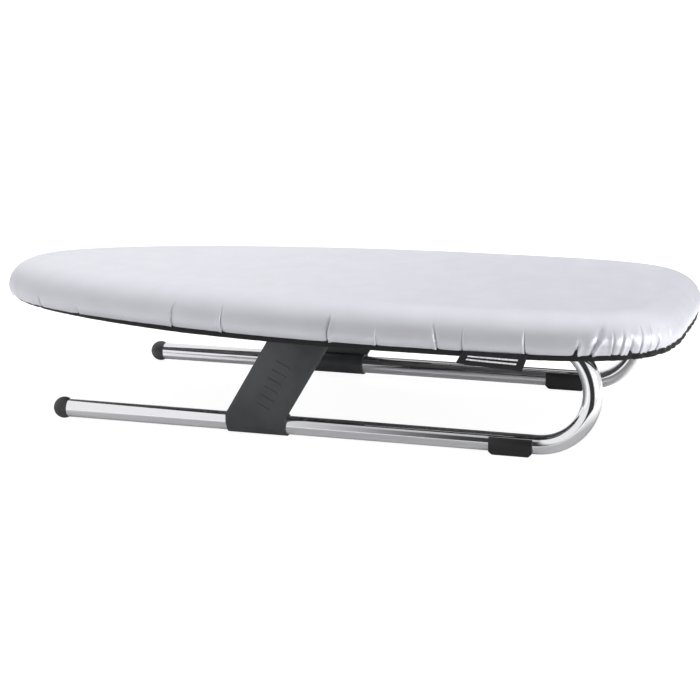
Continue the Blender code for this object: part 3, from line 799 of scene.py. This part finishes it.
def build_ball(side_name, finish):
    """The ball on the lower arm's end, with a moulded parting line."""
    seat = math.sqrt(GRIP_RADIUS ** 2 - TUBE_RADIUS ** 2)
    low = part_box("ball_cap_" + side_name)[0]
    centre = (low[0] + GRIP_RADIUS, SIDES[side_name] * LEG_Y, LOWER_AXIS_Z)
    seat_angle = math.degrees(math.asin(seat / GRIP_RADIUS))
    profile = [(0.0, seat + 0.014), (0.0078, seat + 0.014), (0.0082, seat + 0.0134),
               (0.0082, seat), (TUBE_RADIUS - 0.0002, seat)]
    profile += arc((0.0, 0.0), GRIP_RADIUS, seat_angle - 3, 2, 14)
    profile += [(GRIP_RADIUS - 0.00015, 0.0)]
    profile += arc((0.0, 0.0), GRIP_RADIUS, -2, -90, 22)[:-1] + [(0.0, -GRIP_RADIUS)]
    mesh = lathe("ball_end_" + side_name, profile, centre, (1, 0, 0))
    ball = new_object("ball_end_" + side_name, mesh, "leg_" + side_name)
    ball.data.materials.append(finish)
    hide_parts("ball_cap_" + side_name)
    return ball


SCREW_SIDES = 40
SCREW_SHAFT = 0.46               # shaft radius as a share of the head's
SCREW_HEAD = 0.0020              # height of the head
SCREW_RECESS = 0.0012            # depth of the driver's cross
CROSS_WIDTH = 0.0009
CROSS_REACH = 1.25               # length of an arm pair as a share of the head's radius
CROSS_TURN = 0.4                 # radians from the board's X axis


def build_screw(name, finish):
    """A pan-head screw with a cross recess, in place of the plain one."""
    low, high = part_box(name)
    radius = (high[0] - low[0]) / 2
    centre = Vector(((low[0] + high[0]) / 2, (low[1] + high[1]) / 2, 0.0))
    shaft = radius * SCREW_SHAFT
    head_top = low[2] + SCREW_HEAD
    profile = [(0.0, high[2]), (shaft, high[2]), (shaft, head_top), (radius, head_top),
               (radius, low[2] + 0.0009), (radius - 0.0003, low[2] + 0.0003),
               (radius - 0.0010, low[2]), (0.0, low[2])]
    mesh = lathe(name + "_head", profile, centre, (0, 0, 1), SCREW_SIDES)
    screw = new_object(name + "_head", mesh, "board")
    cutters = []
    for turn in (CROSS_TURN, CROSS_TURN + math.pi / 2):
        bpy.ops.mesh.primitive_cube_add(size=1.0, location=(centre.x, centre.y, low[2]))
        cutter = bpy.context.object
        cutter.scale = (radius * CROSS_REACH, CROSS_WIDTH, 2 * SCREW_RECESS)
        cutter.rotation_euler = (0.0, 0.0, turn)
        cutters.append(cutter)
    bpy.context.view_layer.update()
    for cutter in cutters:
        cut = screw.modifiers.new("recess", "BOOLEAN")
        cut.operation = "DIFFERENCE"
        cut.solver = "EXACT"
        cut.object = cutter
    shown = screw.evaluated_get(bpy.context.evaluated_depsgraph_get())
    finished = bpy.data.meshes.new_from_object(shown)
    screw.modifiers.clear()
    screw.data = finished
    for cutter in cutters:
        bpy.data.objects.remove(cutter, do_unlink=True)
    finished.materials.clear()
    finished.materials.append(finish)
    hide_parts(name)
    return screw


def rounded_copy(name, width, segments=3):
    """A copy of a CAD piece with its hard edges rounded, shown in its place."""
    source = frame["nodes"][name]
    mesh = source.data.copy()
    weld(mesh, 1e-6)
    bm = bmesh.new()
    bm.from_mesh(mesh)
    bmesh.ops.dissolve_limit(bm, angle_limit=math.radians(1.5), verts=bm.verts, edges=bm.edges)
    bm.to_mesh(mesh)
    bm.free()
    mesh.name = name + "_finished"
    mesh.shade_smooth()
    piece = new_object(name + "_finished", mesh, source["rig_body"])
    bevel = piece.modifiers.new("edges", "BEVEL")
    bevel.width = width
    bevel.segments = segments
    bevel.limit_method = "ANGLE"
    bevel.angle_limit = math.radians(38)
    bevel.harden_normals = True
    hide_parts(name)
    return piece


RIB_COUNT = 6                    # raised ribs on each brace, equal and evenly spaced
RIB_PITCH = 0.0100
RIB_LENGTH = 0.0030              # along the brace
RIB_BREADTH = 0.0160             # across the brace
RIB_START = 0.022                # of the first rib, from the lower arm's axis
RIB_RAISE = 0.0007


def build_brace_mark(side_name, finish):
    """A plain row of equal raised ribs along the brace's outer face."""
    side = SIDES[side_name]
    low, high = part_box("brace_" + side_name)
    face_y = low[1] if side < 0 else high[1]
    run = Vector((BRACE_LEAN, 0.0, UPPER_AXIS_Z - LOWER_AXIS_Z)).normalized()
    foot = Vector((low[0] + BRACE_LENGTH / 2, face_y, LOWER_AXIS_Z))
    turn = Matrix.Rotation(-math.atan2(run.z, run.x), 4, "Y")
    bm = bmesh.new()
    size = Matrix.Diagonal((RIB_LENGTH, 2 * RIB_RAISE, RIB_BREADTH, 1.0))
    for rib in range(RIB_COUNT):
        centre = foot + run * (RIB_START + RIB_PITCH * rib)
        bmesh.ops.create_cube(bm, size=1.0, matrix=Matrix.Translation(centre) @ turn @ size)
    mesh = bpy.data.meshes.new("brace_mark_" + side_name)
    bm.to_mesh(mesh)
    bm.free()
    mark = new_object(mesh.name, mesh, "leg_" + side_name)
    bevel = mark.modifiers.new("edges", "BEVEL")
    bevel.width = 0.00025
    bevel.segments = 2
    mark.data.materials.append(finish)
    return mark


# ================================================================== woven label
LABEL_COLUMNS = 40
LABEL_ROWS = 10
LABEL_THICKNESS = 0.0005
LABEL_SLANT = 0.0060             # how far its lower edge is set toward the nose
LABEL_FLARE = 0.0020             # how far that edge stands away from the board
# Each stripe's start and end along the label, then its top and bottom, as shares.
LABEL_BARS = ((0.12, 0.88, 0.34, 0.44), (0.12, 0.88, 0.58, 0.68))
BAR_STEPS = 10
BAR_PROUD = 0.00015


def label_surface(u, v, proud):
    """A point of the label, u along it and v down it, standing proud of the binding."""
    low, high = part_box("label_tag")
    x = low[0] + (high[0] - low[0]) * u - LABEL_SLANT * v
    drop = (high[2] - low[2]) * v * (0.72 + 0.30 * u)
    flare = LABEL_FLARE * v ** 2 * (1 + 0.6 * math.sin(5.2 * u + 0.6))
    y = -half_width_at(x, BINDING_OUTER_INSET - 0.0016 - proud) - flare
    return (x, y, high[2] - drop)


def build_label(finish, thread):
    """A black woven label that hangs from the binding, with plain pale bars."""
    columns = [i / LABEL_COLUMNS for i in range(LABEL_COLUMNS + 1)]
    rows = [i / LABEL_ROWS for i in range(LABEL_ROWS + 1)]
    vertices = [label_surface(u, v, 0.0) for v in rows for u in columns]
    wide = len(columns)
    faces = [(r * wide + c, (r + 1) * wide + c, (r + 1) * wide + c + 1, r * wide + c + 1)
             for r in range(LABEL_ROWS) for c in range(LABEL_COLUMNS)]
    mesh = bpy.data.meshes.new("woven_label")
    mesh.from_pydata(vertices, [], faces)
    mesh.shade_smooth()
    label = new_object("woven_label", mesh, "board")
    skin = label.modifiers.new("thickness", "SOLIDIFY")
    skin.thickness = LABEL_THICKNESS
    skin.offset = -1.0
    label.data.materials.append(finish)
    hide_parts("label_tag")
    bars = build_label_bars(thread)
    return label, bars


def build_label_bars(thread):
    """The label's plain woven bars, a hair proud of its face."""
    vertices = []
    faces = []
    for u0, u1, v0, v1 in LABEL_BARS:
        base = len(vertices)
        for i in range(BAR_STEPS + 1):
            u = u0 + (u1 - u0) * i / BAR_STEPS
            for v, proud in ((v0, 0.0), (v0, BAR_PROUD), (v1, BAR_PROUD), (v1, 0.0)):
                vertices.append(label_surface(u, v, proud))
        faces += strip_faces(base, BAR_STEPS)
    mesh = bpy.data.meshes.new("label_bars")
    mesh.from_pydata(vertices, [], faces)
    weld(mesh, 1e-8, outward=True)
    bars = new_object("label_bars", mesh, "board")
    bars.data.materials.append(thread)
    return bars


# ================================================================== studio
TABLE_FRONT = 0.335              # the table's reach toward the camera; then the room is dark
TABLE_BACK = 1.20
TABLE_LEFT = 1.80
TABLE_RIGHT = 0.85
ROOM_DARK = 0.04                 # radiance of the room in front and behind
ROOM_SIDE = 0.90                 # and to either side
ROOM_ABOVE = 0.55                # and overhead


def see_through_from_below(mat):
    """Let a camera under the floor see the object."""
    tree = mat.node_tree
    clear = tree.nodes.new("ShaderNodeBsdfTransparent")
    mixed = tree.nodes.new("ShaderNodeMixShader")
    output = tree.nodes["Material Output"]
    shader = tree.nodes["Principled BSDF"]
    side = tree.nodes.new("ShaderNodeNewGeometry")
    tree.links.new(side.outputs["Backfacing"], mixed.inputs["Fac"])
    tree.links.new(shader.outputs["BSDF"], mixed.inputs[1])
    tree.links.new(clear.outputs["BSDF"], mixed.inputs[2])
    tree.links.new(mixed.outputs["Shader"], output.inputs["Surface"])


def build_backdrop():
    """The pure white floor that the camera sees, with only a trace of shadow."""
    bpy.ops.mesh.primitive_plane_add(size=60.0, location=(0.0, 0.0, -0.0002))
    floor = bpy.context.object
    floor.name = "white_backdrop"
    mat = material("white_backdrop", (0.25, 0.25, 0.25), 0.9, 0.0,
                   Emission_Color=(1.0, 1.0, 1.0, 1.0), Emission_Strength=0.93)
    see_through_from_below(mat)
    floor.data.materials.append(mat)
    floor.visible_diffuse = False
    floor.visible_glossy = False


def build_table():
    """The white table, square to the camera, that lights the underside and the chrome."""
    turned = Matrix.Rotation(CAMERA_AZIMUTH, 4, "Z")
    middle = Vector(((TABLE_RIGHT - TABLE_LEFT) / 2, (TABLE_BACK - TABLE_FRONT) / 2, -0.0004))
    bpy.ops.mesh.primitive_plane_add(size=1.0, location=turned @ middle)
    table = bpy.context.object
    table.name = "white_table"
    table.scale = (TABLE_RIGHT + TABLE_LEFT, TABLE_BACK + TABLE_FRONT, 1.0)
    table.rotation_euler = (0.0, 0.0, CAMERA_AZIMUTH)
    table.data.materials.append(material(
        "white_table", (0.80, 0.80, 0.80), 0.8, 0.0,
        Emission_Color=(1.0, 1.0, 1.0, 1.0), Emission_Strength=0.06))
    table.visible_camera = False


def add_softbox(name, location, target, size, power, glossy=True):
    """A rectangular area light aimed at a point, in reflections or not."""
    light = bpy.data.lights.new(name, "AREA")
    light.shape = "RECTANGLE"
    light.size = size[0]
    light.size_y = size[1]
    light.energy = power
    obj = bpy.data.objects.new(name, light)
    bpy.context.scene.collection.objects.link(obj)
    obj.location = location
    aim = Vector(target) - Vector(location)
    obj.rotation_euler = aim.to_track_quat("-Z", "Y").to_euler()
    obj.visible_camera = False
    obj.visible_glossy = glossy
    return obj


def smooth_step(tree, source, low, high, value):
    """Rise smoothly from 0 to a value between two inputs."""
    remap = tree.nodes.new("ShaderNodeMapRange")
    remap.interpolation_type = "SMOOTHSTEP"
    remap.inputs["From Min"].default_value = low
    remap.inputs["From Max"].default_value = high
    remap.inputs["To Max"].default_value = value
    tree.links.new(source, remap.inputs["Value"])
    return remap.outputs["Result"]


def build_world():
    """A room that is light to both sides and overhead, and dark in front and behind."""
    world = bpy.data.worlds.new("studio")
    bpy.context.scene.world = world
    world.use_nodes = True
    tree = world.node_tree
    direction = tree.nodes.new("ShaderNodeTexCoord").outputs["Generated"]
    split = tree.nodes.new("ShaderNodeSeparateXYZ")
    tree.links.new(direction, split.inputs["Vector"])
    leftward = joined(world, split.outputs["X"], -1.0, "MULTIPLY")
    left = smooth_step(tree, leftward, 0.24, 0.38, ROOM_SIDE)
    right = smooth_step(tree, split.outputs["X"], 0.45, 0.60, ROOM_SIDE)
    above = smooth_step(tree, split.outputs["Z"], 0.66, 0.78, ROOM_ABOVE)
    sides = joined(world, left, right, "MAXIMUM")
    seen = tree.nodes.new("ShaderNodeLightPath").outputs["Is Camera Ray"]
    light = joined(world, joined(world, sides, above, "MAXIMUM"), ROOM_DARK)
    light = joined(world, light, seen, "MAXIMUM")
    tree.nodes["Background"].inputs["Color"].default_value = (1.0, 1.0, 1.0, 1.0)
    tree.links.new(light, tree.nodes["Background"].inputs["Strength"])


def build_camera():
    """The camera at the measured angle, with its slight roll."""
    back = Vector((math.sin(CAMERA_AZIMUTH) * math.cos(CAMERA_ELEVATION),
                   -math.cos(CAMERA_AZIMUTH) * math.cos(CAMERA_ELEVATION),
                   math.sin(CAMERA_ELEVATION)))
    right = Vector((math.cos(CAMERA_AZIMUTH), math.sin(CAMERA_AZIMUTH), 0.0))
    up = back.cross(right)
    rolled_right = math.cos(CAMERA_ROLL) * right + math.sin(CAMERA_ROLL) * up
    rolled_up = math.cos(CAMERA_ROLL) * up - math.sin(CAMERA_ROLL) * right
    data = bpy.data.cameras.new("camera")
    data.lens = CAMERA_LENS
    data.sensor_width = 36.0
    camera = bpy.data.objects.new("camera", data)
    bpy.context.scene.collection.objects.link(camera)
    axes = Matrix((rolled_right, rolled_up, back)).transposed().to_4x4()
    camera.matrix_world = Matrix.Translation(CAMERA_TARGET + back * CAMERA_DISTANCE) @ axes
    bpy.context.scene.camera = camera


def build_studio():
    """Camera, floor, world and soft lights."""
    build_camera()
    build_backdrop()
    build_table()
    build_world()
    add_softbox("key_softbox", (0.50, 0.9, 2.0), (0.0, 0.0, 0.1), (1.1, 1.1), 50.0,
                glossy=False)
    add_softbox("tail_softbox", (1.00, -0.46, 0.05), (0.35, -0.1, 0.12), (0.40, 0.40), 4.5)
    bpy.context.scene.view_settings.view_transform = "Standard"


def dress_carried_nodes(finishes):
    """Give every CAD node that stays on show its procedural material."""
    for name, obj in frame["nodes"].items():
        finish = finishes.get(SLOT_OF[name])
        if finish is not None:
            obj.data.materials.clear()
            obj.data.materials.append(finish)


def main():
    """Build every piece."""
    build_studio()
    grey_enamel = enamel()
    polished = chrome()
    black = moulded("black_plastic", (0.012, 0.012, 0.013), 0.42)
    brace_grey = moulded("brace_plastic", (0.050, 0.052, 0.057), 0.42)
    ball_grey = moulded("ball_rubber", (0.045, 0.045, 0.048), 0.55, 900.0, 0.0002)
    plated = zinc()
    finishes = {"panel_enamel": grey_enamel, "tube_chrome": polished,
                "saddle_plastic": black, "stop_plastic": black, "plug_plastic": black,
                "foot_plastic": black, "brace_plastic": brace_grey,
                "ball_rubber": ball_grey, "screw_steel": plated,
                "woven_label": woven_tape("label_ground", (0.008, 0.008, 0.010), 1500.0)}
    dress_carried_nodes(finishes)
    cover = build_cover()
    binding = build_binding()
    label, bars = build_label(finishes["woven_label"],
                              woven_tape("label_thread", (0.80, 0.80, 0.81), 1500.0))
    build_pad()
    build_rim(grey_enamel)
    build_panel(grey_enamel)
    for name in list(frame["nodes"]):
        if name.startswith("saddle_screw_"):
            build_screw(name, plated)
        elif name.startswith(("saddle_", "leg_stop_", "end_plug_")):
            rounded_copy(name, 0.0005)
    for side_name in SIDES:
        build_tube(side_name, polished)
        build_ball(side_name, ball_grey)
        rounded_copy("brace_" + side_name, 0.0008)
        rounded_copy("foot_clip_" + side_name, 0.0004)
        build_brace_mark(side_name, brace_grey)


main()
